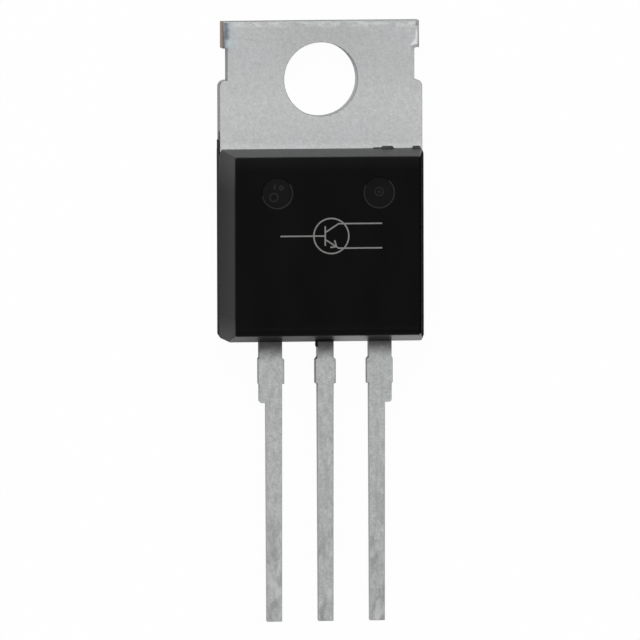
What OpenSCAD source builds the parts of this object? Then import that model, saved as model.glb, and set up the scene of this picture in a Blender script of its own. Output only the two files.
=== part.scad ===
// Power transistor in a three-lead through-hole package with a screw-down heat tab.
// Units are millimetres. The part lies on the bare back of its tab.
// Origin: the mounting hole's axis on that back face. +Z comes out of the printed front,
// +Y runs to the tab's top edge, and the leads point along -Y.
//
// How it is made: a thick copper tab and three thin leads are stamped from one strip. The chip
// is soldered on the tab, wires join it to the outer leads, and black resin is moulded round
// them. The centre lead stays one piece with the tab. The bars that tied the strip together
// are sheared off last, which leaves the stubs on the leads and the notches in the tab.

/* [Heat tab] */
// Width of the metal tab
tab_w = 10; // [9:0.1:11]
// Thickness of the metal tab
tab_t = 1.3; // [1.1:0.05:1.4]
// Diameter of the mounting hole
hole_d = 3.65; // [3:0.05:4.2]
// From the hole's centre to the tab's top edge
hole_to_top = 2.88; // [2.6:0.02:3.4]
// From the hole's centre to the front half of the body
hole_to_body = 3.42; // [2.9:0.02:4]
// From the hole's centre up to the lower end of the side notches
notch_low = -0.03; // [-0.4:0.01:0.3]
// Length of the side notches along the tab
notch_l = 1.58; // [1:0.01:1.8]
// Depth of each side notch
notch_depth = 0.39; // [0.36:0.01:0.6]
// Radius of the tab's shoulders under the notches
shoulder_r = 0.32; // [0.1:0.01:0.35]
// Radius in the inner corners of the notches
notch_r = 0.1; // [0.05:0.01:0.15]
// How far the head's cut sides stand in from the tab's width
head_inset = 0.14; // [0:0.01:0.16]
// How much farther in the head's cut sides are at the front than at the back
shear_slant = 0.015; // [0.01:0.005:0.08]

/* [Moulded body] */
// Length of the body from its top edge to its lead end
body_l = 9.36; // [9:0.05:10.5]
// Thickness from the back of the tab to the front face
body_t = 4.4; // [4.3:0.05:4.8]
// Resin that covers each side of the tab
side_skin = 0.06; // [0.06:0.01:0.4]
// Resin that covers each side of the tab above the front half
ear_skin = 0.03; // [0.02:0.01:0.05]
// How far the back half rises beside the tab above the front half
ear_rise = 0.45; // [0.1:0.01:0.8]
// Mould draft of the two sides in front of the tab, degrees
side_draft = 9.5; // [4:0.5:12]
// Mould draft of the top end, degrees
top_draft = 5.2; // [2:0.1:10]
// Mould draft of the lead end in front of the leads, degrees
end_draft = 15.5; // [5:0.5:18]
// Mould draft of the lead end behind the leads, degrees
back_draft = 2.7; // [1:0.1:5]
// Mould draft of each side behind the tab's front face, as a distance
back_inset = 0.02; // [0.01:0.005:0.04]
// Cut corner of the front half, across the tab
corner_x = 0.15; // [0.05:0.01:0.25]
// Cut corner of the front half, along the tab
corner_y = 0.27; // [0.05:0.01:0.35]
// Diameter of the two round ejector marks
mark_d = 1.5; // [0.8:0.1:2]
// Depth of the ejector marks
mark_depth = 0.08; // [0.03:0.01:0.15]
// Distance between the two ejector marks
mark_span = 5; // [3:0.1:5.6]
// From the body's top edge to the ejector marks' centres
mark_drop = 1.98; // [1.6:0.05:3]

/* [Leads] */
// Distance between lead centres
pitch = 2.54; // [2.3:0.01:2.8]
// Thickness of the leads
lead_t = 0.5; // [0.4:0.05:0.6]
// From the tab's back face to the back of the leads
lead_plane = 2.4; // [2.2:0.05:2.6]
// Length of the leads below the body
lead_l = 13.78; // [12:0.01:16]
// Width of the leads at the body
lead_w = 0.82; // [0.7:0.01:0.9]
// Width of the leads at their tips
tip_w = 0.745; // [0.6:0.005:0.9]
// Extra width on the outer side of the two outer leads, near the body
wide_w = 0.32; // [0.15:0.01:0.4]
// Length of that wide part below the body
wide_l = 3; // [2.7:0.05:4]
// Radius of the corner at the end of the wide part
wide_r = 0.14; // [0.05:0.01:0.15]
// From the body to the stubs of the sheared tie bars
stub_drop = 0.78; // [0.4:0.01:1]
// Length of the stubs along the lead
stub_l = 1.28; // [0.8:0.01:1.5]
// How far the stubs stand out from a lead's plain sides
stub_h = 0.1; // [0.03:0.01:0.15]
// How far the stubs stand out from the wide part's outer side
outer_stub_h = 0.05; // [0.02:0.01:0.1]

/* [Inside the body] */
// How far the tab keeps its full width inside the body
tab_grip = 1.1; // [0.8:0.05:1.3]
// How far each side of the die pad's bare back stands in from the tab's side
pad_step = 0.85; // [0.8:0.05:1.3]
// From the die pad's end to the lead end of the body
pad_gap = 1.85; // [1.8:0.05:2.2]
// Width of the ledge that locks the resin on each side of the pad
ledge_w = 0.25; // [0.1:0.05:0.3]
// Thickness of that ledge, from the pad's front
ledge_t = 0.6; // [0.3:0.05:0.8]
// Width of the groove across the tab that stops moisture
groove_w = 0.5; // [0.3:0.05:0.6]
// Depth of that groove
groove_depth = 0.2; // [0.1:0.05:0.3]
// Inner radius of the two bends in the centre lead
bend_r = 0.25; // [0.15:0.05:0.3]
// Slope of the centre lead between its bends, degrees
bend_slope = 65; // [60:1:75]
// Width of the bond posts on the outer leads
post_w = 2.3; // [1.8:0.1:2.6]
// Length of the bond posts
post_l = 1.3; // [1:0.05:1.5]
// From the lead end of the body to the bond posts
post_in = 0.6; // [0.4:0.05:0.8]
// How far the bond posts are set outwards from their leads
post_shift = 0.35; // [0.2:0.05:0.4]
// Width of the chip
die_w = 3.4; // [2.6:0.1:4]
// Length of the chip
die_l = 4; // [3:0.1:4.4]
// Thickness of the chip
die_t = 0.25; // [0.15:0.05:0.4]
// Thickness of the solder under the chip
solder_t = 0.05; // [0.03:0.01:0.1]
// How far the solder reaches past the chip
solder_edge = 0.1; // [0.05:0.05:0.2]
// Diameter of the two load wires
load_wire_d = 0.38; // [0.25:0.01:0.45]
// Diameter of the control wire
control_wire_d = 0.18; // [0.1:0.01:0.25]
// Height of the wires' arches above the bond posts
loop_rise = 0.65; // [0.5:0.05:0.8]
// Distance between the two load wires
wire_gap = 0.88; // [0.75:0.01:1]
// From the chip's side to the outer load wire
load_inset = 0.58; // [0.4:0.01:0.7]
// From the chip's other side to the control wire
control_inset = 0.54; // [0.3:0.01:0.8]
// How far below the chip's centre the control wire stands on it
control_drop = 0.8; // [0.2:0.05:1]

/* [Hidden] */
$fn = 64;
cut = 1;               // how far a cutting shape passes through what it cuts
lap = 0.3;             // how far two pieces of one solid reach into each other
bend_steps = 8;        // flats round each bend of the centre lead
quarter = 90;          // a right angle in degrees

// Levels above the back face
lead_front = lead_plane + lead_t;
die_back = tab_t + solder_t;
die_front = die_back + die_t;

// Places along the tab
body_top = -hole_to_body;
body_end = body_top - body_l;
grip_end = body_top - tab_grip;
pad_end = body_end + pad_gap;
head_low = notch_low + notch_l;
groove_y = body_top - tab_grip / 2;
die_y = (groove_y - groove_w / 2 + pad_end) / 2;     // middle of the pad's free length
post_start = body_end + post_in;

// Half widths
body_half = tab_w / 2 + side_skin;
ear_half = tab_w / 2 + ear_skin;
notch_half = tab_w / 2 - notch_depth;
head_half = tab_w / 2 - head_inset;
pad_half = tab_w / 2 - pad_step;

// The centre lead's two bends: same angle each way, with a straight ramp between them
bend_mid = bend_r + lead_t / 2;
bend_rise = lead_front - tab_t;
ramp_l = (bend_rise - 2 * bend_mid * (1 - cos(bend_slope))) / sin(bend_slope);
bend_run = 2 * bend_mid * sin(bend_slope) + ramp_l * cos(bend_slope);
straight_in = pad_gap - bend_run;

// Wire ends: on the chip and on the middle of the posts
post_x = pitch + post_shift;
post_y = post_start + post_l / 2;
peak_z = lead_front + loop_rise;
outer_x = die_w / 2 - load_inset;
control_x = control_inset - die_w / 2;
control_y = die_y - control_drop;
foot = [2.2, 1.3, 0.5];        // length, width and height of a wire's foot, in wire diameters

// A flat outline raised along Y, drawn in X and Z
module along_y(from, to) {
    translate([0, to, 0])
        rotate([quarter, 0, 0])
            linear_extrude(to - from)
                children();
}

// A flat outline drawn in Y and Z, raised along X about the middle
module along_x(width) {
    translate([-width / 2, 0, 0])
        rotate([quarter, 0, quarter])
            linear_extrude(width)
                children();
}

module both_sides() {
    children();
    mirror([1, 0, 0])
        children();
}

// The square corner left inside a rounded inner corner, at the origin, towards +X and +Y
module inner_round(r) {
    difference() {
        square(r);
        translate([r, r])
            circle(r);
    }
}

// Tab from its head to where the die pad begins, seen from the front
module tab_outline() {
    translate([-tab_w / 2, grip_end])
        square([tab_w, notch_low - shoulder_r - grip_end]);
    translate([-tab_w / 2 + shoulder_r, grip_end])
        square([tab_w - 2 * shoulder_r, notch_low - grip_end]);
    translate([-notch_half, grip_end])
        square([2 * notch_half, head_low - grip_end + lap]);
    both_sides() {
        translate([tab_w / 2 - shoulder_r, notch_low - shoulder_r])
            circle(shoulder_r);
        translate([notch_half, head_low])
            mirror([0, 1])
                inner_round(notch_r);
    }
}

// Head above the notches: its sides are the cut ends of the strip's tie bars
module tab_head() {
    along_y(head_low, hole_to_top)
        polygon([
            [-head_half, 0],
            [head_half, 0],
            [head_half - shear_slant, tab_t],
            [-head_half + shear_slant, tab_t]
        ]);
}

// Die pad: bare at the back, with a wider ledge at the front that locks the resin
module die_pad() {
    pad_l = grip_end - pad_end + lap;
    translate([-pad_half, pad_end, 0])
        cube([2 * pad_half, pad_l, tab_t]);
    translate([-pad_half - ledge_w, pad_end, tab_t - ledge_t])
        cube([2 * (pad_half + ledge_w), pad_l, ledge_t]);
}

// Groove across the tab under the body's top edge
module moisture_groove() {
    along_x(tab_w + cut)
        polygon([
            [groove_y - groove_w / 2, tab_t],
            [groove_y, tab_t - groove_depth],
            [groove_y + groove_w / 2, tab_t],
            [groove_y + groove_w / 2, tab_t + cut],
            [groove_y - groove_w / 2, tab_t + cut]
        ]);
}

// A lead's plain outline below the body, centred on X = 0, with the body's end at Y = 0
module lead_outline(inside) {
    polygon([
        [-tip_w / 2, -lead_l],
        [tip_w / 2, -lead_l],
        [lead_w / 2, 0],
        [lead_w / 2, inside],
        [-lead_w / 2, inside],
        [-lead_w / 2, 0]
    ]);
}

// Stub of a sheared tie bar, on the +X side of an edge; its upper corner slopes away
module stub_outline(edge, h) {
    polygon([
        [0, edge - stub_drop],
        [edge + h, -stub_drop - h],
        [edge + h, -stub_drop - stub_l],
        [0, -stub_drop - stub_l]
    ]);
}

// Wide part of an outer lead, on its +X side
module wide_outline(inside) {
    edge = lead_w / 2 + wide_w;
    translate([0, -wide_l + wide_r])
        square([edge, wide_l - wide_r + inside]);
    translate([0, -wide_l])
        square([edge - wide_r, wide_l]);
    translate([edge - wide_r, -wide_l + wide_r])
        circle(wide_r);
}

// Points along an arc in the Y and Z plane
function arc(centre, r, from, to) = [
    for (i = [0 : bend_steps])
        let (turn = from + (to - from) * i / bend_steps)
            centre + r * [cos(turn), sin(turn)]
];

// Side view of the centre lead's S-bend, from the lead's straight part into the die pad
module bend_side_view() {
    upper = [body_end + straight_in, lead_front - lead_t / 2 - bend_mid];
    lower = [pad_end, tab_t - lead_t / 2 + bend_mid];
    outer = bend_mid + lead_t / 2;
    polygon(concat(
        [[body_end, lead_front]],
        arc(upper, outer, quarter, quarter - bend_slope),
        arc(lower, bend_r, -quarter - bend_slope, -quarter),
        [[pad_end + lap, tab_t], [pad_end + lap, tab_t - lead_t]],
        arc(lower, outer, -quarter, -quarter - bend_slope),
        arc(upper, bend_r, quarter - bend_slope, quarter),
        [[body_end, lead_plane]]
    ));
}

// Centre lead: a straight part outside, and an S-bend inside the resin
module centre_lead() {
    translate([0, body_end, lead_plane])
        linear_extrude(lead_t) {
            lead_outline(straight_in);
            both_sides()
                stub_outline(lead_w / 2, stub_h);
        }
    along_x(lead_w)
        bend_side_view();
}

module heat_tab() {
    color([0.74, 0.75, 0.75])
        difference() {
            union() {
                linear_extrude(tab_t)
                    tab_outline();
                tab_head();
                die_pad();
                centre_lead();
            }
            translate([0, 0, -cut])
                cylinder(d = hole_d, h = tab_t + 2 * cut);
            moisture_groove();
        }
}

// Outer lead with its bond post, on the +X side
module outer_lead() {
    translate([pitch, body_end, lead_plane]) {
        linear_extrude(lead_t)
            lead_outline(post_in + lap);
        linear_extrude(lead_t)
            wide_outline(post_in + lap);
        linear_extrude(lead_t)
            stub_outline(lead_w / 2 + wide_w, outer_stub_h);
        linear_extrude(lead_t)
            mirror([1, 0])
                stub_outline(lead_w / 2, stub_h);
        translate([post_shift - post_w / 2, post_in, 0])
            cube([post_w, post_l, lead_t]);
    }
}

module right_lead() {
    color([0.68, 0.69, 0.68])
        outer_lead();
}

module left_lead() {
    color([0.68, 0.69, 0.68])
        mirror([1, 0, 0])
            outer_lead();
}

module die_solder() {
    color([0.6, 0.6, 0.62])
        translate([-die_w / 2 - solder_edge, die_y - die_l / 2 - solder_edge, tab_t])
            cube([die_w + 2 * solder_edge, die_l + 2 * solder_edge, solder_t]);
}

module chip() {
    color([0.3, 0.32, 0.38])
        translate([-die_w / 2, die_y - die_l / 2, die_back])
            cube([die_w, die_l, die_t]);
}

// Distance along the span at which an arc that sinks by a at its start and b at its end is
// highest: it comes from the equal radii of the two sides
function arc_peak(a, b, span) =
    abs(a - b) < 0.001 ? span / 2
    : (-a * span + sqrt(a * b * (span * span + (a - b) * (a - b)))) / (b - a);

// Round wire that arches from one point to another and stands on a flat foot at each end
module bond_wire(start, end, d) {
    span = norm([end[0] - start[0], end[1] - start[1]]);
    heading = atan2(end[1] - start[1], end[0] - start[0]);
    a = peak_z - start[2];
    b = peak_z - end[2];
    peak = arc_peak(a, b, span);
    r = (peak * peak + a * a) / (2 * a);
    centre_z = peak_z - r;
    from_angle = atan2(end[2] - centre_z, span - peak);
    to_angle = 2 * quarter - atan2(start[2] - centre_z, peak);
    translate([start[0], start[1], 0])
        rotate([0, 0, heading])
            difference() {
                union() {
                    translate([peak, 0, centre_z])
                        rotate([quarter, 0, 0])
                            rotate([0, 0, from_angle])
                                rotate_extrude(angle = to_angle - from_angle)
                                    translate([r, 0])
                                        circle(d = d);
                    wire_foot(0, start[2], d);
                    wire_foot(span, end[2], d);
                }
                translate([-cut, -cut, start[2] - 2 * cut])
                    cube([cut + span / 2, 2 * cut, 2 * cut]);
                translate([span / 2, -cut, end[2] - 2 * cut])
                    cube([cut + span / 2, 2 * cut, 2 * cut]);
            }
}

module wire_foot(at, level, d) {
    translate([at - foot[0] * d / 2, -foot[1] * d / 2, level])
        cube(foot * d);
}

module control_wire() {
    color([0.85, 0.85, 0.83])
        bond_wire([control_x, control_y, die_front], [-post_x, post_y, lead_front], control_wire_d);
}

module load_wire_inner() {
    color([0.85, 0.85, 0.83])
        bond_wire([outer_x - wire_gap, die_y, die_front],
            [post_x - wire_gap / 2, post_y, lead_front], load_wire_d);
}

module load_wire_outer() {
    color([0.85, 0.85, 0.83])
        bond_wire([outer_x, die_y, die_front],
            [post_x + wire_gap / 2, post_y, lead_front], load_wire_d);
}

// Everything that the resin is moulded round
module moulded_in() {
    heat_tab();
    left_lead();
    right_lead();
    die_solder();
    chip();
    control_wire();
    load_wire_inner();
    load_wire_outer();
}

// Side view of the body: it parts at the tab's front on the top end and at the front of
// the leads on the lead end, and leans away from both
module body_side_view() {
    polygon([
        [body_end + lead_front * tan(back_draft), 0],
        [body_end, lead_front],
        [body_end + (body_t - lead_front) * tan(end_draft), body_t],
        [body_top - (body_t - tab_t) * tan(top_draft), body_t],
        [body_top, tab_t],
        [body_top + ear_rise, tab_t],
        [body_top + ear_rise, 0]
    ]);
}

// End view of the body
module body_end_view() {
    front_half = body_half - (body_t - tab_t) * tan(side_draft);
    polygon([
        [-body_half + back_inset, 0],
        [body_half - back_inset, 0],
        [body_half, tab_t],
        [front_half, body_t],
        [-front_half, body_t],
        [-body_half, tab_t]
    ]);
}

// Front view of the body's front half, with its two cut corners
module body_front_view() {
    polygon([
        [-body_half - cut, body_end - cut],
        [body_half + cut, body_end - cut],
        [body_half + cut, body_top - corner_y - cut * corner_y / corner_x],
        [body_half - corner_x, body_top],
        [-body_half + corner_x, body_top],
        [-body_half - cut, body_top - corner_y - cut * corner_y / corner_x]
    ]);
}

module moulded_body() {
    color([0.07, 0.07, 0.075])
        difference() {
            intersection() {
                along_x(2 * body_half + cut)
                    body_side_view();
                along_y(body_end - cut, body_top + ear_rise + cut)
                    body_end_view();
                union() {
                    translate([0, 0, tab_t])
                        linear_extrude(body_t)
                            body_front_view();
                    translate([-body_half - cut, body_end - cut, -cut])
                        cube([2 * (body_half + cut), body_l + cut, tab_t + cut]);
                    translate([-ear_half, body_top - lap, -cut])
                        cube([2 * ear_half, ear_rise + lap + cut, tab_t + cut]);
                }
            }
            both_sides()
                translate([mark_span / 2, body_top - mark_drop, body_t - mark_depth])
                    cylinder(d = mark_d, h = cut);
            moulded_in();
        }
}

heat_tab();
moulded_body();
left_lead();
right_lead();
die_solder();
chip();
control_wire();
load_wire_inner();
load_wire_outer();
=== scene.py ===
"""Power transistor with a screw-down heat tab, lying on its back on pale paper."""
import math
import random
import bmesh
import bpy
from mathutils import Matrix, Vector


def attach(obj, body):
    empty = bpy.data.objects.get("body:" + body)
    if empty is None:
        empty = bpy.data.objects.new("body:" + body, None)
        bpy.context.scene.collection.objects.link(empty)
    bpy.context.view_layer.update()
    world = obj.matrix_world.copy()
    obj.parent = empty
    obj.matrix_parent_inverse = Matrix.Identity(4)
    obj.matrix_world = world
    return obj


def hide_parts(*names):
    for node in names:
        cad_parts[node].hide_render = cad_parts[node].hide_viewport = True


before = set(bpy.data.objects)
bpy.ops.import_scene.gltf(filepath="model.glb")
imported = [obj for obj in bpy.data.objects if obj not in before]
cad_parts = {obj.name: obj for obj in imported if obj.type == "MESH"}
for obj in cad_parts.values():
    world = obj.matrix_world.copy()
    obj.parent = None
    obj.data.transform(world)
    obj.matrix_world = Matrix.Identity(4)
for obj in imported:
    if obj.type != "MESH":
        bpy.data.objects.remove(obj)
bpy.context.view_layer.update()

MM = 0.001

# Places on the part, in millimetres, as the CAD has them
TAB_T = 1.3              # front of the heat tab
TAB_TOP = 2.88           # its upper edge
TAB_HALF = 5.0           # half its width
HEAD_LOW = 1.55          # underside of the tab's head
HEAD_SIDE = 4.8          # what lies further out than this is the head's cut side
BODY_T = 4.4             # front face of the body
BODY_TOP = -3.42         # where the body starts on the tab
BODY_END = -12.78        # the body's lead end, at the front of the leads
EAR_TOP = -2.97          # top of the resin beside the tab
END_LEAN = 0.2773        # how far that end leans back for each millimetre of height
LEAD_BACK, LEAD_FRONT = 2.4, 2.9
TIPS = -26.0             # what lies below this is a lead's tip
MARK_X, MARK_Y = 2.5, -5.4      # ejector marks, right and left
MARK_FLOOR = 4.32
SYMBOL_X, SYMBOL_Y = 0.14, -7.5
NEAR = 0.01              # how close to a level a corner is that lies on it
HAIR = 0.0015            # how much higher each of several crossing strips lies

# Unevenness of this one piece, in millimetres, which the CAD leaves out
TOP_SLOPE = 0.0034       # the tab's top edge sinks so much for each millimetre to the left
TOP_SLOPE_FROM = 2.0     # of this place
EAR_LOW = -3.6           # the ears start above this
EAR_CUT = -3.582         # where the cut through the right ear meets the tab's side
EAR_CUT_SLOPE = 1.8
SEAM_UP = 0.02           # the body's top edge on the tab lies higher
FACE_TOP = -3.8          # the front face's top edge lies above this
FACE_UP = 0.07           # and higher by so much
FACE_LEFT = 0.055        # the front face's left edge lies further left

# Rounded edges, in millimetres
DIE_ROLL = 0.3           # how wide the punch rolled an edge where it rolled it most
ROLL_FLATTEN = 3.0       # how many times wider than deep the roll is
STAMPED_EDGE = 0.04
MOULD_EDGE = 0.22
ROLL_SPLIT = 0.64        # how far a roll's normal leans forward where the front's finish starts

# Light
TIN_METAL = 0.7            # how metallic the matte tin looks
# Painted light: in reflections the paper glows far whiter right of the part's middle than left of
# it
GLOSSY_SHARE = 0.1         # how white the paper looks in reflections, left of the part's middle
GLOSSY_SHARE_RIGHT = 0.9   # and right of it
WORLD_LEVEL = 0.35
LAMPS_AIM_MM = (0.0, -8.0, 0.0)
# Softboxes: direction, then distance, width and height in metres, and watts
TOP_BOX = ((-0.1, 0.45, 1.0), 0.75, 0.5, 0.5, 3.5)
LEFT_BOX = ((-1.0, -0.15, 0.55), 0.8, 0.4, 0.4, 0.35)

# Camera, from the photograph's edges
LENS_MM = 513.07
DISTANCE_MM = 450.0
AIM_MM = (0.057, -11.942, 0.0)
TURN_LEFT = math.radians(6.29)
LIFT = math.radians(4.32)
ROLL = math.radians(0.15)


def lin(*rgb):
    """Colour as a picture shows it, 0 to 255, to the linear values that a material takes."""
    return tuple(
        c / 255 / 12.92 if c <= 10.3 else ((c / 255 + 0.055) / 1.055) ** 2.4 for c in rgb
    )


def grey(level):
    return lin(level, level, level)


# Materials

class Finish:
    """A material's node tree, with short ways to add what every finish here needs."""

    def __init__(self, name, **sockets):
        self.material = bpy.data.materials.new(name)
        self.material.use_nodes = True
        self.tree = self.material.node_tree
        self.shader = self.tree.nodes["Principled BSDF"]
        for key, value in sockets.items():
            self.shader.inputs[key.replace("_", " ")].default_value = value
        self.place = self.tree.nodes.new("ShaderNodeTexCoord").outputs["Object"]
        self.axes = None

    def add(self, kind, inputs=None, **settings):
        node = self.tree.nodes.new("ShaderNode" + kind)
        for key, value in settings.items():
            setattr(node, key, value)
        for key, value in (inputs or {}).items():
            if isinstance(value, bpy.types.NodeSocket):
                self.tree.links.new(value, node.inputs[key])
            else:
                node.inputs[key].default_value = value
        return node

    def axis(self, letter):
        """The place on the part along X, Y or Z."""
        if self.axes is None:
            self.axes = self.add("SeparateXYZ", {"Vector": self.place}).outputs
        return self.axes[letter]

    def math(self, operation, *values):
        return self.add("Math", dict(enumerate(values)), operation=operation).outputs[0]

    def all_of(self, first, *others):
        """Shares multiplied, so that the result is 1 only where each of them is."""
        for other in others:
            first = self.math("MULTIPLY", first, other)
        return first

    def rise(self, of, start_mm, end_mm, least=0.0, most=1.0, **settings):
        """A share that goes from least to most between two places, on an axis named by its letter
        or along a value that is given."""
        of = self.axis(of) if isinstance(of, str) else of
        ends = {"From Min": start_mm * MM, "From Max": end_mm * MM, "To Min": least, "To Max": most}
        return self.add("MapRange", {"Value": of, **ends}, **settings).outputs[0]

    def noise(self, size_mm, detail=2.0, rough=0.5, stretch=None, seed=0.0):
        """Noise with blotches of about size_mm; stretch is how much longer they are each way."""
        place = self.place
        if stretch or seed:
            scale = tuple(1 / s for s in (stretch or (1, 1, 1)))
            shift = (seed, seed * 0.37, seed * 0.71)
            place = self.add("Mapping", {"Vector": place, "Scale": scale,
                                         "Location": shift}).outputs[0]
        return self.add("TexNoise", {"Vector": place, "Scale": 1 / (size_mm * MM),
                                     "Detail": detail, "Roughness": rough}).outputs["Fac"]

    def waved(self, letter, by_mm, seed):
        """The place along an axis, swung to and fro so that an edge drawn by it is ragged."""
        swing = self.math("SUBTRACT", self.noise(0.4, 2.0, 0.6, seed=seed), 0.5)
        return self.math("MULTIPLY_ADD", swing, by_mm * MM, self.axis(letter))

    def ramp(self, fac, *stops):
        """Fac to a colour or a grey through stops of (position, colour)."""
        node = self.add("ValToRGB", {"Fac": fac})
        points = node.color_ramp.elements
        while len(points) < len(stops):
            points.new(0.5)
        for point, (at, colour) in zip(points, stops):
            point.position = at
            point.color = (colour,) * 3 + (1,) if isinstance(colour, float) else (*colour, 1)
        return node.outputs["Color"]

    def mix(self, fac, a, b, how="MIX"):
        node = self.add("Mix", data_type="RGBA", blend_type=how)
        for index, value in ((0, fac), (6, a), (7, b)):
            if isinstance(value, bpy.types.NodeSocket):
                self.tree.links.new(value, node.inputs[index])
            else:
                node.inputs[index].default_value = value if index == 0 else (*value, 1)
        return node.outputs[2]

    def times(self, colour, by):
        """A colour multiplied by another one, or by one number."""
        return self.mix(1.0, colour, (by,) * 3 if isinstance(by, float) else by, "MULTIPLY")

    def bump(self, height, depth_mm, strength=1.0, on=None):
        inputs = {"Height": height, "Distance": depth_mm * MM, "Strength": strength}
        if on:
            inputs["Normal"] = on
        return self.add("Bump", inputs).outputs["Normal"]

    def set(self, **sockets):
        for key, value in sockets.items():
            self.tree.links.new(value, self.shader.inputs[key.replace("_", " ")])
        return self.material


def matte_tin(name, tone, cloud_mm, streak, seed=0.0, violet=0.5, depth=0.16):
    """Matte tin plating: mottled grain, violet-grey clouds, a few bright specks, and bump to match.
    streak is how much longer than wide the mottling is, and depth how far it darkens and
    brightens the tone."""
    f = Finish(name, Metallic=TIN_METAL)

    def shade(k):
        return tuple(min(1.0, c * k) for c in tone)

    grain = f.noise(0.09, 2.0, 0.6, seed=seed)
    mottle = f.noise(0.2, 1.5, 0.55, stretch=(1, streak, 1), seed=seed + 2)
    base = f.ramp(mottle, (0.3, shade(1 - depth)), (0.5, shade(0.99)), (0.7, shade(1 + depth)))
    grains = f.ramp(grain, (0.3, shade(1 - 1.2 * depth)), (0.7, shade(1 + 1.2 * depth)))
    fine = f.mix(0.5, base, grains)
    cloud = f.ramp(f.noise(cloud_mm, 2.0, 0.5, seed=seed + 3), (0.5, 0.0), (0.7, violet))
    clouded = f.mix(cloud, fine, f.times(fine, (0.98, 0.97, 1.035)))
    speck = f.ramp(f.noise(0.13, 0.0, 0.5, seed=seed + 9), (0.72, 0.0), (0.82, 0.6))
    specked = f.mix(speck, clouded, shade(1.3))
    rough = f.ramp(mottle, (0.3, 0.46), (0.7, 0.58))
    f.set(Roughness=rough, Normal=f.bump(mottle, 0.004, 0.4, on=f.bump(grain, 0.003, 0.4)))
    return f, specked


def tab_tin():
    """The tab's tin, with painted light that makes it paler towards the body. The head's left
    rolled edge has painted blue-grey shade, and its top and right edges painted highlights."""
    f, tin = matte_tin("matte_tin_tab", lin(186, 188, 187), 1.1, 1.2)
    # Painted light: paler towards the body, palest in a line just above it
    painted_light_to_body = f.ramp(f.rise("Y", 2.4, -3.4), (0.0, 0.77), (0.3, 0.785), (0.45, 0.82),
                        (0.6, 0.86), (0.94, 0.89), (0.97, 0.97), (1.0, 1.0))
    tin = f.times(f.times(tin, 1.235), painted_light_to_body)
    above_hole = f.all_of(f.rise("X", -3.2, -1.0), f.rise("X", 3.2, 1.0), f.rise("Y", 0.3, 1.6))
    tin = f.mix(above_hole, tin, f.times(tin, 0.93))

    front = f.rise("Z", TAB_T - 0.2, TAB_T - 0.1)
    head = f.all_of(f.rise("Y", 1.3, 1.6), front)
    left, top, right = f.waved("X", 0.35, 21), f.waved("Y", 0.3, 25), f.waved("X", 0.06, 27)

    def over(share, colour, on=head):
        """The tin so far, with a share of another colour over it, on the head or elsewhere."""
        return f.mix(f.all_of(share, on), tin, colour)

    # Painted highlight in patches along the tab's top edge
    patchy_highlight = f.ramp(f.noise(0.22, 2.0, 0.6, stretch=(2.5, 1, 1), seed=23),
                         (0.44, 0.0), (0.62, 0.9))
    highlight_along_top = f.all_of(f.rise(top, 2.5, 2.72), f.rise(top, 2.87, 2.82))
    tin = over(highlight_along_top, lin(204, 206, 206), on=f.all_of(patchy_highlight, front))
    # Painted shade on the head's left rolled edge: bluish, then blue-grey
    tin = over(f.rise(left, -4.2, -4.5), f.times(tin, (0.9, 0.97, 1.01)))
    tin = over(f.rise(left, -4.46, -4.66), lin(114, 122, 128))
    tin = over(f.rise("X", -4.8, -4.81), lin(120, 104, 96))

    # Painted highlight along the head's right rolled edge, darker again at its outermost rim
    paler_part = f.all_of(f.rise(right, 4.65, 4.69), f.rise("Y", 2.5, 2.3))
    tin = over(paler_part, lin(214, 215, 215))
    tin = over(f.rise(right, 4.75, 4.78), lin(172, 173, 173))
    # A brighter band on a slant at the lower right of the head
    slant = f.math("MULTIPLY_ADD", f.axis("Y"), -0.875, f.axis("X"))
    bright_slant_band = f.all_of(f.rise(slant, 2.86, 3.03), f.rise(right, 4.74, 4.69), f.rise("Y", 1.6, 1.7))
    tin = over(bright_slant_band, lin(222, 224, 223))

    # A paler bluish patch at the lower left of the head
    bluish_patch = f.all_of(f.rise("X", -4.86, -4.56), f.rise("X", -4.2, -4.42),
                    f.rise(top, 2.08, 1.92), f.rise(top, 1.5, 1.6))
    tin = over(bluish_patch, lin(182, 190, 194))
    lower_edge = f.all_of(f.rise("Y", 1.72, 1.67), f.rise("X", 4.5, 4.7))
    tin = over(lower_edge, lin(140, 141, 141))
    underside = f.all_of(f.rise("Y", 1.66, 1.62), f.rise("X", 4.4, 4.5))
    tin = over(underside, lin(164, 165, 165))
    top_corner = f.all_of(f.rise(right, 4.64, 4.72), f.rise("Y", 2.56, 2.64))
    return f.set(Base_Color=over(top_corner, lin(146, 147, 147), on=front))


def tab_side_tin():
    """Thin tin, dulled by the copper, on the tab's blanked sides and on the wall of its hole."""
    f, tin = matte_tin("tab_side_tin", lin(146, 148, 147), 0.6, 1.0, seed=43.0, violet=0.0,
                       depth=0.22)
    across = f.math("ABSOLUTE", f.axis("X"))
    low_in_hole = f.all_of(f.rise(across, 3.0, 2.5), f.rise("Y", 1.1, 0.1))
    return f.set(Base_Color=f.mix(low_in_hole, tin, f.times(tin, 1.5)))


def painted_shadow_at_roots(f, tin):
    """Painted shadow of the body: tin darkened along the leads' roots, less far on the right lead.
    """
    shifted = f.math("MULTIPLY_ADD", f.rise("X", 1.2, 1.4), -0.16 * MM, f.axis("Y"))
    ragged = f.math("MULTIPLY_ADD", f.noise(0.25, 2.0, 0.6, seed=47), 0.3 * MM, shifted)
    # Painted shadow: darkest at the body, fading over about a millimetre
    shadow_share = f.rise(ragged, BODY_END - 0.9, BODY_END + 0.05, interpolation_type="SMOOTHSTEP")
    return f.mix(shadow_share, tin, lin(80, 80, 79))


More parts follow.
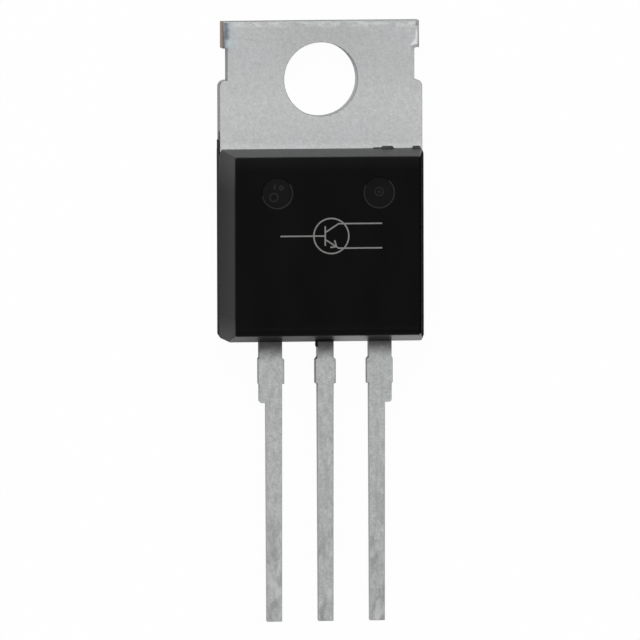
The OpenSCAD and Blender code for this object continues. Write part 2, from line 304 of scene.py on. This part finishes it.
def lead_tin():
    """The leads' tin: drawn lengthways, dulled in blotches, and with painted shadow at the body."""
    f, tin = matte_tin("matte_tin_leads", lin(180, 182, 181), 0.8, 1.8, seed=7.0, violet=0.2,
                       depth=0.26)
    streak = f.ramp(f.noise(0.16, 2.0, 0.5, stretch=(1, 9, 1), seed=35), (0.5, 0.0), (0.68, 0.3))
    tin = f.mix(streak, tin, lin(150, 151, 152))
    blotch = f.ramp(f.noise(0.5, 2.0, 0.55, stretch=(1, 2.4, 1), seed=31), (0.54, 0.0), (0.66, 0.5))
    tin = f.mix(f.all_of(blotch, f.rise("Y", -19.5, -23.5)), tin, lin(128, 130, 132))
    burnish = f.ramp(f.noise(0.42, 2.0, 0.5, stretch=(1, 3, 1), seed=38), (0.56, 0.0), (0.66, 0.6))
    tin = f.mix(f.all_of(burnish, f.rise("Y", -20.0, -23.5)), tin, lin(205, 207, 207))
    return f.set(Base_Color=painted_shadow_at_roots(f, tin))


def lead_edge_tin():
    """Tin on the leads' stamped edges, smeared thin and dark over the copper at their roots, under
    painted shadow at the body.
    """
    f, tin = matte_tin("lead_edge_tin", lin(186, 187, 186), 0.5, 4.0, seed=19.0, violet=0.0,
                       depth=0.2)
    thin = f.mix(f.rise("Y", -15.4, -14.8), tin, f.times(tin, (0.43, 0.42, 0.41)))
    return f.set(Base_Color=painted_shadow_at_roots(f, thin))


def rolled_tin():
    """Tin on the rolled edges, burnished by the punch, with painted shade at two places on the
    hole's rim: right at the top and left at the bottom."""
    f, tin = matte_tin("rolled_tin", lin(170, 171, 171), 0.8, 1.0, seed=15.0)
    diagonal = f.math("MULTIPLY", f.axis("X"), f.axis("Y"))
    across = f.math("ABSOLUTE", f.axis("X"))
    # Painted shade on the hole's rim, top right and bottom left
    painted_shade_on_rim = f.all_of(f.rise(diagonal, 0.7 * MM, 1.4 * MM, most=0.85),
                     f.rise(across, 2.3, 2.1), f.rise("Y", 2.4, 2.1))
    return f.set(Base_Color=f.mix(painted_shade_on_rim, tin, lin(106, 107, 107)))


def sheared_copper():
    """A cut edge's copper: tinned thinly by the punch below, torn above, streaked along the cut."""
    f = Finish("sheared_copper", Metallic=0.7)
    streak = f.noise(0.05, 3.0, 0.6, stretch=(1, 1, 14))
    paler_part = f.ramp(streak, (0.3, lin(146, 134, 124)), (0.7, lin(170, 160, 150)))
    bare = f.ramp(streak, (0.3, lin(116, 88, 74)), (0.55, lin(142, 116, 102)),
                  (0.8, lin(160, 136, 122)))
    tone = f.mix(f.rise("Z", 0.3, 1.1), paler_part, bare)
    return f.set(Base_Color=tone, Roughness=f.ramp(streak, (0.2, 0.38), (0.8, 0.6)),
                 Normal=f.bump(streak, 0.01, 0.6))


def black_resin(name, shine, rough=(0.36, 0.5), greys=(7, 11), painted_light=()):
    """Moulded epoxy: nearly black, satin from the spark-eroded mould, with faint flow clouds. Each
    row of the last argument is an axis, where a painted light starts and ends on it, and the added
    grey."""
    f = Finish(name, Specular_IOR_Level=shine)
    pores = f.noise(0.035, 2.0, 0.6)
    clouds = f.noise(1.6, 2.0, 0.5, stretch=(1, 2.4, 1))
    tone = f.ramp(clouds, (0.3, grey(greys[0])), (0.7, grey(greys[1])))
    for axis, start, end, added in painted_light:
        tone = f.mix(f.rise(axis, start, end), tone, f.mix(1.0, tone, grey(added), "ADD"))
    return f.set(Base_Color=tone, Roughness=f.ramp(pores, (0.3, rough[0]), (0.7, rough[1])),
                 Normal=f.bump(pores, 0.0025, 0.35))


def laser_mark():
    """Resin whitened by the marking laser, in grains along each stroke."""
    f = Finish("laser_mark", Specular_IOR_Level=0.2)
    grain = f.noise(0.05, 2.0, 0.6)
    tone = f.ramp(grain, (0.25, lin(106, 106, 104)), (0.75, lin(150, 150, 148)))
    return f.set(Base_Color=tone, Roughness=f.ramp(grain, (0.2, 0.7), (0.8, 0.9)))


def inner_metal(name, tone, rough_low, rough_high):
    f = Finish(name, Metallic=1.0)
    grain = f.noise(0.08)
    return f.set(Base_Color=f.ramp(grain, (0.3, tuple(c * 0.9 for c in tone)), (0.7, tone)),
                 Roughness=f.ramp(grain, (0.3, rough_low), (0.7, rough_high)))


def silicon():
    f = Finish("silicon", Metallic=0.3)
    cells = f.add("TexVoronoi", {"Vector": f.place, "Scale": 1 / (0.12 * MM)}).outputs["Distance"]
    return f.set(Base_Color=f.ramp(cells, (0.2, (0.03, 0.035, 0.05)), (0.8, (0.09, 0.1, 0.14))),
                 Roughness=f.ramp(cells, (0.2, 0.15), (0.8, 0.3)))


TAB_TIN = tab_tin()
ROLLED_TIN = rolled_tin()
SIDE_TIN = tab_side_tin()
LEAD_TIN = lead_tin()
LEAD_EDGE = lead_edge_tin()
COPPER = sheared_copper()
# Painted light on the resin: the front lighter at its top and bottom edges, the lead end lighter to
# the right, the left side lighter towards the front and towards its ends
RESIN = black_resin("black_resin", 0.045, painted_light=[("Y", -4.3, -3.85, 11), ("Y", -11.9, -12.4, 12)])
# Painted light and shade: the top slope, lead end and left side are copies of the resin with more
# shine, the right side and back half darker copies, the right one nearly without shine
RESIN_TOP = black_resin("black_resin_top_slope", 0.15)
RESIN_END = black_resin("black_resin_lead_end", 0.39, rough=(0.26, 0.4),
                        painted_light=[("X", 0.0, 4.2, 34)])
RESIN_LEFT = black_resin("black_resin_left_side", 0.095, rough=(0.5, 0.65),
                         painted_light=[("Z", 1.6, 4.4, 38), ("Y", -5.4, -3.9, 54), ("Y", -11.5, -12.6, 62)])
RESIN_RIGHT = black_resin("black_resin_right_side_shaded", 0.002, rough=(0.6, 0.7), greys=(5, 8))
RESIN_BACK = black_resin("black_resin_back_half", 0.05, rough=(0.55, 0.7), greys=(5, 8))
RIM_HIGHLIGHT_AND_RING_RESIN = black_resin("rim_highlight_and_ring_resin", 0.1, rough=(0.5, 0.7), greys=(26, 44))
# Painted highlight: the flash crumbs are grey where black resin would catch the light
FLASH_HIGHLIGHT_RESIN = black_resin("flash_resin_painted_highlight", 0.15, rough=(0.5, 0.7), greys=(58, 76))
PIN_MARK = black_resin("pin_mark_floor", 0.06, rough=(0.45, 0.6), greys=(12, 20))
MARK = laser_mark()


# Pieces from the CAD solids

def joined_copy(node):
    """A node's mesh with its loose triangles merged and its flat faces joined."""
    bm = bmesh.new()
    bm.from_mesh(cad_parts[node].data)
    bmesh.ops.remove_doubles(bm, verts=bm.verts, dist=0.0002 * MM)
    bmesh.ops.dissolve_limit(bm, angle_limit=math.radians(0.4), verts=bm.verts, edges=bm.edges,
                             delimit=set())
    return bm


def turns_by(edge, degrees):
    """Whether the two faces at an edge meet at such an angle or more."""
    return edge.calc_face_angle(0.0) >= math.radians(degrees)


def split_on_middle(bm):
    """Cuts the tab's wide faces on the middle line, so that their only seams run to the hole."""
    wide = [f for f in bm.faces if abs(f.normal.z) > 0.99 and f.calc_area() > 5 * MM * MM]
    around = {item for f in wide for item in [f, *f.edges, *f.verts]}
    bmesh.ops.bisect_plane(bm, geom=list(around), dist=0.0001 * MM, plane_co=(0, 0, 0),
                           plane_no=(1, 0, 0))
    seams = [e for e in bm.edges if len(e.link_faces) == 2 and not turns_by(e, 0.4)
             and max(abs(v.co.x) for v in e.verts) > 0.001 * MM]
    bmesh.ops.dissolve_edges(bm, edges=seams, use_verts=False)


def rounded(mesh, width_mm, weights, steps=3, flatten=1.0, finish=-1):
    """Rounds the weighted edges of a mesh. With flatten the round is that much shallower."""
    bm = bmesh.new()
    bm.from_mesh(mesh)
    floats = bm.edges.layers.float
    layer = floats.get("bevel_weight_edge") or floats.new("bevel_weight_edge")
    for edge in bm.edges:
        edge[layer] = weights(edge) if len(edge.link_faces) == 2 else 0.0
    for vert in bm.verts:
        vert.co.z *= flatten
    bm.to_mesh(mesh)
    bm.free()
    holder = bpy.data.objects.new("rounding", mesh)
    bpy.context.scene.collection.objects.link(holder)
    rounding = holder.modifiers.new("rounding", "BEVEL")
    rounding.limit_method = "WEIGHT"
    rounding.width = width_mm * MM
    rounding.segments = steps
    rounding.miter_outer = "MITER_ARC"
    rounding.material = finish
    graph = bpy.context.evaluated_depsgraph_get()
    done = bpy.data.meshes.new_from_object(holder.evaluated_get(graph), depsgraph=graph)
    for vert in done.vertices:
        vert.co.z /= flatten
    bpy.data.objects.remove(holder)
    bpy.data.meshes.remove(mesh)
    return done


def as_mesh(bm, name, materials):
    mesh = bpy.data.meshes.new(name)
    bm.to_mesh(mesh)
    bm.free()
    for material in materials:
        mesh.materials.append(material)
    return mesh


def placed(mesh, name, slot, *nodes):
    """A finished mesh as a piece that rides on the part, in place of its CAD nodes if any."""
    mesh.shade_smooth()
    mesh.set_sharp_from_angle(angle=math.radians(32))
    piece = bpy.data.objects.new(name, mesh)
    bpy.context.scene.collection.objects.link(piece)
    even = piece.modifiers.new("flat faces stay flat", "WEIGHTED_NORMAL")
    even.keep_sharp = True
    graph = bpy.context.evaluated_depsgraph_get()
    piece.data = bpy.data.meshes.new_from_object(piece.evaluated_get(graph), depsgraph=graph)
    piece.modifiers.clear()
    piece.data.name = name
    if nodes:
        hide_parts(*nodes)
    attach(piece, "root")


def ends_of(edge):
    return tuple(v.co / MM for v in edge.verts)


# Where each finish stands among the tab's and the body's materials
TAB_FRONT, SHEARED, LEAD_SIDES, ROLLED, STAMPED, BLANKED = range(6)
FRONT, TOP, LEAD_END, LEFT, RIGHT, BACK_HALF, PIN = range(7)


def plate_roll(edge):
    """How much of the full roll each front edge of the tab has: all of it on the left side of the
    head, where the tie bar was sheared off, and less on the right and elsewhere."""
    a, b = ends_of(edge)
    front = min(a.z, b.z) > TAB_T - NEAR and max(a.z, b.z) < TAB_T + NEAR
    if not turns_by(edge, 30) or not front or min(a.y, b.y) < BODY_TOP - 0.5:
        return 0.0
    on_head = min(a.y, b.y) > HEAD_LOW - NEAR
    if on_head and max(a.x, b.x) < -HEAD_SIDE:
        return 1.0
    if on_head and min(a.x, b.x) > HEAD_SIDE:
        return 0.4
    return 0.3 if min(a.y, b.y) > TAB_TOP - 0.6 else 0.18


def lead_edges(edge):
    """The leads' edges below the body, a little rounder at the front."""
    a, b = ends_of(edge)
    if not turns_by(edge, 35) or max(a.y, b.y) > BODY_END + 0.3:
        return 0.0
    return 1.0 if min(a.z, b.z) > LEAD_FRONT - NEAR else 0.6


def plate_back_and_lead(edge):
    """The centre lead's edges, and the edges of the tab's bare back."""
    a, b = ends_of(edge)
    if turns_by(edge, 35) and max(a.z, b.z) < NEAR and min(a.y, b.y) > BODY_TOP:
        return 0.6
    return lead_edges(edge)


def is_cut_tip(face):
    return face.normal.y < -0.9 and face.calc_center_median().y < TIPS * MM


def part_of_tab(face):
    c, n = face.calc_center_median() / MM, face.normal
    if is_cut_tip(face) or c.y > HEAD_LOW and abs(n.x) > 0.9 and abs(c.x) > HEAD_SIDE:
        return SHEARED
    if c.y < BODY_END:
        return LEAD_SIDES
    upright = c.y > BODY_TOP and abs(n.z) < 0.3
    return BLANKED if upright and (abs(n.x) > 0.6 or abs(c.x) < 2) else TAB_FRONT


def head_rolls_in_tab_tin(mesh):
    """Gives the rolls on the head's sides the tab's own tin, which has their painted shade and
    highlights.
    """
    for face in mesh.polygons:
        c = face.center / MM
        at_side = c.y > HEAD_LOW and abs(c.x) > HEAD_SIDE - DIE_ROLL
        if face.material_index == ROLLED and at_side:
            face.material_index = TAB_FRONT


def make_tab():
    bm = joined_copy("heat_tab")
    split_on_middle(bm)
    for vert in bm.verts:
        if vert.co.y > (TAB_TOP - 0.1) * MM:
            vert.co.y -= TOP_SLOPE * max(0.0, TOP_SLOPE_FROM * MM - vert.co.x)
    for face in bm.faces:
        face.material_index = part_of_tab(face)
    finishes = [TAB_TIN, COPPER, LEAD_TIN, ROLLED_TIN, LEAD_EDGE, SIDE_TIN]
    mesh = rounded(as_mesh(bm, "heat_tab", finishes), DIE_ROLL, plate_roll, steps=5,
                   flatten=ROLL_FLATTEN, finish=ROLLED)
    head_rolls_in_tab_tin(mesh)
    mesh = rounded(mesh, STAMPED_EDGE, plate_back_and_lead, finish=STAMPED)
    placed(mesh, "heat_tab_and_centre_lead", "tinned_copper", "heat_tab")


def make_lead(side):
    finishes = [LEAD_TIN, COPPER, LEAD_EDGE]
    bm = joined_copy(side + "_lead")
    for face in bm.faces:
        face.material_index = finishes.index(COPPER if is_cut_tip(face) else LEAD_TIN)
    mesh = rounded(as_mesh(bm, side + "_lead", finishes), STAMPED_EDGE, lead_edges,
                   finish=finishes.index(LEAD_EDGE))
    placed(mesh, side + "_lead_plated", "tinned_copper", side + "_lead")


def body_edges(edge):
    """Only the mould's own edges are round, most of all round the front face, and none of those
    round the metal."""
    if not turns_by(edge, 20):
        return 0.0
    a, b = ends_of(edge)
    faces = [(f.normal, f.calc_center_median() / MM) for f in edge.link_faces]
    leaning = sum(0.02 < n.z < 0.4 for n, c in faces)
    front = sum(n.z > 0.99 and c.z > BODY_T - NEAR for n, c in faces)
    if leaning and front:
        return 1.0
    if leaning == 2:
        return 0.6 if edge.calc_length() > 1 * MM else 0.0
    at_foot = max(a.z, b.z) < LEAD_FRONT + NEAR and max(a.y, b.y) < BODY_END + 0.2
    if at_foot and abs(a.x) > 4.5 and abs(a.z - b.z) > 0.5:
        return 0.6
    return 0.2 if front else 0.0


def side_of_mould(face):
    """Which side of the mould, or ejector pin, shaped a face."""
    n, z = face.normal, face.calc_center_median().z / MM
    if n.z > 0.9 and abs(z - MARK_FLOOR) < NEAR:
        return PIN
    if n.z < 0.02 and z < LEAD_FRONT and max(abs(n.x), abs(n.y)) > 0.9:
        return BACK_HALF
    if n.z > 0.6:
        return FRONT
    return LEFT if n.x < -0.6 else RIGHT if n.x > 0.6 else TOP if n.y > 0.3 else LEAD_END


def slopes_reach_into_roll(mesh):
    """The outer part of the roll round the front face has the finish of the slope that it comes
    from, and the right foot corner has the lead end's."""
    for face in mesh.polygons:
        n = face.normal
        if face.material_index == RIGHT and n.x > 0.2 and n.y < -0.25:
            face.material_index = LEAD_END
        in_roll = face.center.z >= 4.0 * MM and 0.3 < n.z < 0.99
        if face.material_index == PIN or not in_roll:
            continue
        outer = (RIGHT if n.x > abs(n.y) else LEFT if n.x < -abs(n.y)
                 else TOP if n.y > 0 else LEAD_END)
        face.material_index = outer if n.z < ROLL_SPLIT or outer == RIGHT else FRONT


def uneven_as_moulded(bm):
    """Cuts the corner of the right ear and lowers the rest of it, raises the body's top edge on
    the tab, and widens the front face to the top and left."""
    for vert in bm.verts:
        x, y, z = vert.co / MM
        on_face, high = z > BODY_T - NEAR, y > FACE_TOP
        if x > TAB_HALF - NEAR and y > EAR_LOW and z < TAB_T + NEAR:
            vert.co.y = (EAR_CUT - EAR_CUT_SLOPE * (x - TAB_HALF)) * MM
        elif x > 0 and y > BODY_TOP + NEAR:
            vert.co.y = BODY_TOP * MM
        elif abs(y - BODY_TOP) < NEAR and abs(z - TAB_T) < NEAR and abs(x) < TAB_HALF:
            vert.co.y += SEAM_UP * MM
        elif on_face and (high or abs(x) > 4):
            vert.co.y += FACE_UP * MM if high else 0.0
            vert.co.x -= FACE_LEFT * MM if x < 0 else 0.0
    bmesh.ops.dissolve_degenerate(bm, dist=0.001 * MM, edges=bm.edges)
    bmesh.ops.remove_doubles(bm, verts=bm.verts, dist=0.001 * MM)


def make_body():
    bm = joined_copy("moulded_body")
    uneven_as_moulded(bm)
    for face in bm.faces:
        face.material_index = side_of_mould(face)
    finishes = [RESIN, RESIN_TOP, RESIN_END, RESIN_LEFT, RESIN_RIGHT, RESIN_BACK, PIN_MARK]
    mesh = rounded(as_mesh(bm, "moulded_body", finishes), MOULD_EDGE, body_edges, steps=6)
    slopes_reach_into_roll(mesh)
    placed(mesh, "moulded_body_shell", "black_resin", "moulded_body")


# Laser mark, mould rings, flash, painted rim highlights and a painted shade sheet

def stroke_maker():
    """Geometry nodes that turn drawn paths into flat, closed strips with ragged edges."""
    tree = bpy.data.node_groups.new("strokes", "GeometryNodeTree")
    face = tree.interface
    face.new_socket("Geometry", in_out="INPUT", socket_type="NodeSocketGeometry")
    for name, value in (("Width", 0.1 * MM), ("Height", 0.02 * MM), ("Step", 0.05 * MM),
                        ("Waver", 0.1)):
        socket = face.new_socket(name, in_out="INPUT", socket_type="NodeSocketFloat")
        socket.default_value = value
    face.new_socket("Seed", in_out="INPUT", socket_type="NodeSocketInt")
    face.new_socket("Finish", in_out="INPUT", socket_type="NodeSocketMaterial")
    face.new_socket("Geometry", in_out="OUTPUT", socket_type="NodeSocketGeometry")
    make, link = tree.nodes.new, tree.links.new
    given, result = make("NodeGroupInput"), make("NodeGroupOutput")

    spaced = make("GeometryNodeResampleCurve")
    spaced.mode = "LENGTH"
    link(given.outputs["Geometry"], spaced.inputs["Curve"])
    link(given.outputs["Step"], spaced.inputs["Length"])

    waver = make("FunctionNodeRandomValue")
    waver.data_type = "FLOAT"
    link(given.outputs["Seed"], waver.inputs["Seed"])
    low, high = make("ShaderNodeMath"), make("ShaderNodeMath")
    low.operation, high.operation = "SUBTRACT", "ADD"
    for node in (low, high):
        node.inputs[0].default_value = 1.0
        link(given.outputs["Waver"], node.inputs[1])
    floats = [socket for socket in waver.inputs if socket.type == "VALUE"]
    link(low.outputs[0], floats[0])
    link(high.outputs[0], floats[1])
    radius = make("GeometryNodeSetCurveRadius")
    link(spaced.outputs["Curve"], radius.inputs["Curve"])
    link([o for o in waver.outputs if o.type == "VALUE"][0], radius.inputs["Radius"])

    section = make("GeometryNodeCurvePrimitiveQuadrilateral")
    link(given.outputs["Width"], section.inputs["Width"])
    link(given.outputs["Height"], section.inputs["Height"])
    strip = make("GeometryNodeCurveToMesh")
    strip.inputs["Fill Caps"].default_value = True
    link(radius.outputs["Curve"], strip.inputs["Curve"])
    link(section.outputs["Curve"], strip.inputs["Profile Curve"])
    solid = make("GeometryNodeRealizeInstances")
    link(strip.outputs["Mesh"], solid.inputs["Geometry"])
    dressed = make("GeometryNodeSetMaterial")
    link(solid.outputs["Geometry"], dressed.inputs["Geometry"])
    link(given.outputs["Finish"], dressed.inputs["Material"])
    link(dressed.outputs["Geometry"], result.inputs["Geometry"])
    return tree


STROKES = stroke_maker()


def drawn(name, paths_mm, height_z, finish, slot, seed, **sizes_mm):
    """Strips along drawn paths, each a list of (x, y) points, closed if it ends where it starts.
    Each lies a hair higher than the one before, so that no two tops share a plane."""
    curve = bpy.data.curves.new(name, "CURVE")
    curve.dimensions = "3D"
    curve.twist_mode = "Z_UP"
    for number, path in enumerate(paths_mm):
        closed = path[0] == path[-1]
        points = path[:-1] if closed else path
        spline = curve.splines.new("POLY")
        spline.points.add(len(points) - 1)
        for point, (x, y) in zip(spline.points, points):
            point.co = (x * MM, y * MM, (height_z + HAIR * number) * MM, 1)
        spline.use_cyclic_u = closed
    holder = bpy.data.objects.new(name, curve)
    bpy.context.scene.collection.objects.link(holder)
    nodes = holder.modifiers.new("strokes", "NODES")
    nodes.node_group = STROKES
    given = {"Seed": seed, "Finish": finish}
    for key, value in sizes_mm.items():
        given[key] = value if key == "Waver" else value * MM
    for item in STROKES.interface.items_tree:
        if item.in_out == "INPUT" and item.name in given:
            nodes[item.identifier] = given[item.name]
    graph = bpy.context.evaluated_depsgraph_get()
    mesh = bpy.data.meshes.new_from_object(holder.evaluated_get(graph), depsgraph=graph)
    bpy.data.objects.remove(holder)
    placed(mesh, name, slot)


def arc(cx, cy, r, start=0.0, end=360.0, steps=48):
    """Points along an arc between two angles in degrees."""
    turns = [math.radians(start + (end - start) * i / steps) for i in range(steps + 1)]
    return [(cx + r * math.cos(turn), cy + r * math.sin(turn)) for turn in turns]


def closed_arc(cx, cy, r, steps=48):
    """A circle that ends in the very point where it starts."""
    ring = arc(cx, cy, r, steps=steps)
    return ring[:-1] + [ring[0]]


def transistor_symbol(cx, cy):
    """The circuit symbol of a transistor: base to the left, collector and emitter to the right."""
    bar, turn_x, line_y, reach = cx - 0.3, cx + 0.36, 0.6, 2.5
    upper = [(bar, cy + 0.17), (turn_x, cy + line_y), (cx + reach, cy + line_y)]
    lower = [(bar, cy - 0.17), (turn_x, cy - line_y), (cx + reach, cy - line_y)]
    arrow = [(cx + 0.16, cy - 0.21), (cx + 0.25, cy - 0.52), (cx - 0.05, cy - 0.56)]
    return [closed_arc(cx, cy, 0.86), [(bar, cy + 0.48), (bar, cy - 0.48)],
            [(cx - reach, cy), (bar, cy)], upper, lower, arrow]


def make_mark():
    symbol = transistor_symbol(SYMBOL_X, SYMBOL_Y)
    drawn("laser_marked_symbol", symbol, BODY_T, MARK, "black_resin", 5,
          Width=0.07, Height=0.012, Step=0.06, Waver=0.15)


def make_mould_rings():
    """Raised rims round the left, lower and right side of the two ejector marks, lighter grey as a
    painted highlight where their walls catch the light, and raised rings and pips in them.
    """
    rim_r, ring_r = 0.74, 0.2
    rims = [arc(-MARK_X, MARK_Y, rim_r, 190, 395, 48), arc(MARK_X, MARK_Y, rim_r, 150, 410, 52)]
    in_left = [closed_arc(-MARK_X - 0.17, MARK_Y - 0.2, ring_r, 24),
               closed_arc(-MARK_X + 0.2, MARK_Y + 0.27, 0.09, 16),
               arc(-MARK_X - 0.05, MARK_Y + 0.3, 0.1, 100, 260, 12)]
    in_right = [closed_arc(MARK_X, MARK_Y + 0.05, ring_r, 24),
                closed_arc(MARK_X, MARK_Y + 0.05, 0.05, 12)]
    drawn("mould_rings", in_left + in_right, MARK_FLOOR, RIM_HIGHLIGHT_AND_RING_RESIN, "black_resin", 9,
          Width=0.07, Height=0.06, Step=0.05, Waver=0.25)
    # Painted highlight: lighter rims where the marks' walls catch the light
    drawn("pin_mark_rim_highlights", rims, BODY_T - 0.02, RIM_HIGHLIGHT_AND_RING_RESIN, "black_resin", 13,
          Width=0.07, Height=0.045, Step=0.05, Waver=0.3)


def ring_at(bm, corners_mm):
    return [bm.verts.new(Vector(corner) * MM) for corner in corners_mm]


def bridged(bm, rows):
    """Joins rings of vertices, first to last, into a closed skin."""
    for a, b in zip(rows, rows[1:]):
        for j in range(len(a)):
            k = (j + 1) % len(a)
            bm.faces.new((a[j], a[k], b[k], b[j]))
    bm.faces.new(rows[0])
    bm.faces.new(list(reversed(rows[-1])))


def flash_bead(bm, draw, x0, x1, reach, rise):
    """A crumb of resin squeezed out between the mould and the tab's front, flat and lumpy."""
    steps, y, z = 14, BODY_TOP - 0.02, TAB_T - 0.02
    turns = [math.pi * j / 6 for j in range(7)]
    rows = []
    for i in range(steps + 1):
        t = i / steps
        swell = min(1.0, 0.15 + 5.0 * min(t, 1.0 - t)) * draw.uniform(0.92, 1.0)
        rows.append(ring_at(bm, [(x0 + (x1 - x0) * t, y + reach * swell * math.sin(turn),
                                  z + rise * swell * (1 - math.cos(turn)) / 2)
                                 for turn in turns]))
    bridged(bm, rows)


def side_film(bm, draw):
    """A thin film of resin up the front half of the tab's left side, ragged at its upper end."""
    x, y_low, y_high = -TAB_HALF, EAR_TOP - 0.05, EAR_TOP + 0.58
    z_low, z_high = 0.62, TAB_T - 0.02
    rows = []
    for i in range(9):
        z = z_low + (z_high - z_low) * i / 8
        top = y_high - draw.uniform(0.0, 0.1) - 0.12 * abs(i / 4 - 1)
        rows.append(ring_at(bm, (
            (x + 0.02, y_low, z), (x - 0.012, y_low, z), (x - 0.01, (y_low + top) / 2, z),
            (x - 0.007, top - 0.05, z), (x + 0.02, top, z))))
    bridged(bm, rows)


def lead_fin(bm, draw):
    """A fin of resin along the root of the centre lead's left side."""
    x, y_high, length = -0.41, BODY_END + 0.05, 0.32
    rows = []
    for i in range(7):
        y = y_high - length * i / 6
        out = (0.06 if i < 6 else 0.035) * draw.uniform(0.94, 1.06)
        rows.append(ring_at(bm, (
            (x + 0.03, y, LEAD_BACK + 0.05), (x - out, y, LEAD_BACK + 0.12),
            (x - out, y, LEAD_FRONT - 0.1), (x + 0.03, y, LEAD_FRONT + 0.01))))
    bridged(bm, rows)


def lead_shade_sheet(bm, draw):
    """A dark sheet on the lead end, just in front of the centre lead, where the slope lies in
    shade: painted shade.
    """
    x0, x1, height, foot = -0.48, 0.4, 0.6, LEAD_FRONT - 0.02
    rows = []
    for i in range(13):
        t = i / 12
        swell = math.sin(math.pi * (0.1 + 0.8 * t)) ** 0.25
        top = LEAD_FRONT + (height + draw.uniform(-0.04, 0.04)) * swell
        corners = ((foot, 0.03), (foot, -0.012), (top, -0.008), (top + 0.03, 0.02))
        rows.append(ring_at(bm, [
            (x0 + (x1 - x0) * t, BODY_END + END_LEAN * (z - LEAD_FRONT) + out, z)
            for z, out in corners]))
    bridged(bm, rows)


def make_flash():
    """What the mould let out: crumbs at the body's top edge, grey as a painted highlight, and dark
    films on the tab's side and the centre lead's root; and a dark sheet of painted shade on the
    lead end."""
    draw = random.Random(11)
    bm = bmesh.new()
    flash_bead(bm, draw, 2.9, 3.62, reach=0.16, rise=0.2)
    flash_bead(bm, draw, 4.47, 4.94, reach=0.16, rise=0.2)
    flash_bead(bm, draw, 2.5, 3.06, reach=0.09, rise=0.12)
    crumbs = len(bm.faces)
    side_film(bm, draw)
    lead_fin(bm, draw)
    lead_shade_sheet(bm, draw)
    bmesh.ops.recalc_face_normals(bm, faces=bm.faces)
    finishes = [FLASH_HIGHLIGHT_RESIN, RESIN]
    for number, face in enumerate(bm.faces):
        face.material_index = finishes.index(FLASH_HIGHLIGHT_RESIN if number < crumbs else RESIN)
    placed(as_mesh(bm, "resin_flash_and_painted_light", finishes), "resin_flash_and_painted_light", "black_resin")


def finish_inner_pieces():
    """The pieces inside the resin stay as the CAD has them, and get their finishes."""
    solder = inner_metal("solder", (0.45, 0.45, 0.47), 0.3, 0.45)
    wire = inner_metal("bond_wire", (0.75, 0.75, 0.74), 0.25, 0.35)
    inner = {"die_solder": solder, "chip": silicon(), "control_wire": wire,
             "load_wire_inner": wire, "load_wire_outer": wire}
    for node, finish in inner.items():
        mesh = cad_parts[node].data
        mesh.materials.clear()
        mesh.materials.append(finish)


make_tab()
make_lead("left")
make_lead("right")
make_body()
make_mark()
make_mould_rings()
make_flash()
finish_inner_pieces()


# Stage, lights, camera

def paper_floor():
    """Pale paper, nearly white to the camera, with a painted glow in reflections that is far whiter
    right of the part's middle; it keeps the shadow.
    """
    bpy.ops.mesh.primitive_plane_add(size=4.0, location=(0, 0, -0.00002))
    floor = bpy.context.object
    floor.name = "paper_floor"
    f = Finish("paper", Roughness=0.9)
    f.shader.inputs["Base Color"].default_value = (0.86, 0.86, 0.86, 1)
    seen = f.add("LightPath").outputs
    to_camera = f.math("MULTIPLY", seen["Is Camera Ray"], 0.97)
    # Painted light in reflections, whiter right of the part's middle
    painted_glow_right = f.rise("X", 0.2, 1.4, least=GLOSSY_SHARE, most=GLOSSY_SHARE_RIGHT)
    to_gloss = f.math("MULTIPLY", seen["Is Glossy Ray"], painted_glow_right)
    white = f.add("Emission", {"Color": (1, 1, 1, 1), "Strength": 1.0}).outputs[0]
    share = f.math("MAXIMUM", to_camera, to_gloss)
    blend = f.add("MixShader", {0: share, 1: f.shader.outputs[0], 2: white})
    f.tree.links.new(blend.outputs[0], f.tree.nodes["Material Output"].inputs["Surface"])
    floor.data.materials.append(f.material)


def softbox(name, towards, distance, width, height, watts):
    """An area light that faces the part from a direction, given as (x, y, z)."""
    data = bpy.data.lights.new(name, "AREA")
    data.shape, data.size, data.size_y, data.energy = "RECTANGLE", width, height, watts
    lamp = bpy.data.objects.new(name, data)
    direction = Vector(towards).normalized()
    lamp.location = Vector(LAMPS_AIM_MM) * MM + direction * distance
    lamp.rotation_mode = "QUATERNION"
    lamp.rotation_quaternion = direction.to_track_quat("Z", "Y")
    bpy.context.scene.collection.objects.link(lamp)


def studio():
    """White all round to the camera, a low even light on the part, and two softboxes."""
    world = bpy.data.worlds.new("studio")
    bpy.context.scene.world = world
    world.use_nodes = True
    tree = world.node_tree
    back = tree.nodes["Background"]
    path = tree.nodes.new("ShaderNodeLightPath")
    tone = tree.nodes.new("ShaderNodeMix")
    tone.data_type = "FLOAT"
    tree.links.new(path.outputs["Is Camera Ray"], tone.inputs[0])
    tone.inputs[2].default_value = WORLD_LEVEL
    tone.inputs[3].default_value = 1.0
    tree.links.new(tone.outputs[0], back.inputs["Strength"])
    back.inputs["Color"].default_value = (1, 1, 1, 1)
    softbox("top_softbox", *TOP_BOX)
    softbox("left_softbox", *LEFT_BOX)


def photo_camera():
    """A long lens, turned a little to the left and lifted, as the photograph was taken."""
    data = bpy.data.cameras.new("camera")
    data.lens, data.sensor_width = LENS_MM, 36.0
    data.clip_start, data.clip_end = 0.01, 10.0
    camera = bpy.data.objects.new("camera", data)
    a, e = TURN_LEFT, LIFT
    right = Vector((math.cos(a), 0, math.sin(a)))
    back = Vector((-math.sin(a) * math.cos(e), math.sin(e), math.cos(a) * math.cos(e)))
    up = back.cross(right)
    turned_right = right * math.cos(ROLL) - up * math.sin(ROLL)
    turned_up = right * math.sin(ROLL) + up * math.cos(ROLL)
    m = camera.matrix_world.copy()
    for row in range(3):
        m[row][0], m[row][1], m[row][2] = turned_right[row], turned_up[row], back[row]
        m[row][3] = (AIM_MM[row] + DISTANCE_MM * back[row]) * MM
    camera.matrix_world = m
    bpy.context.scene.collection.objects.link(camera)
    bpy.context.scene.camera = camera


paper_floor()
studio()
photo_camera()
bpy.context.scene.view_settings.view_transform = "Standard"
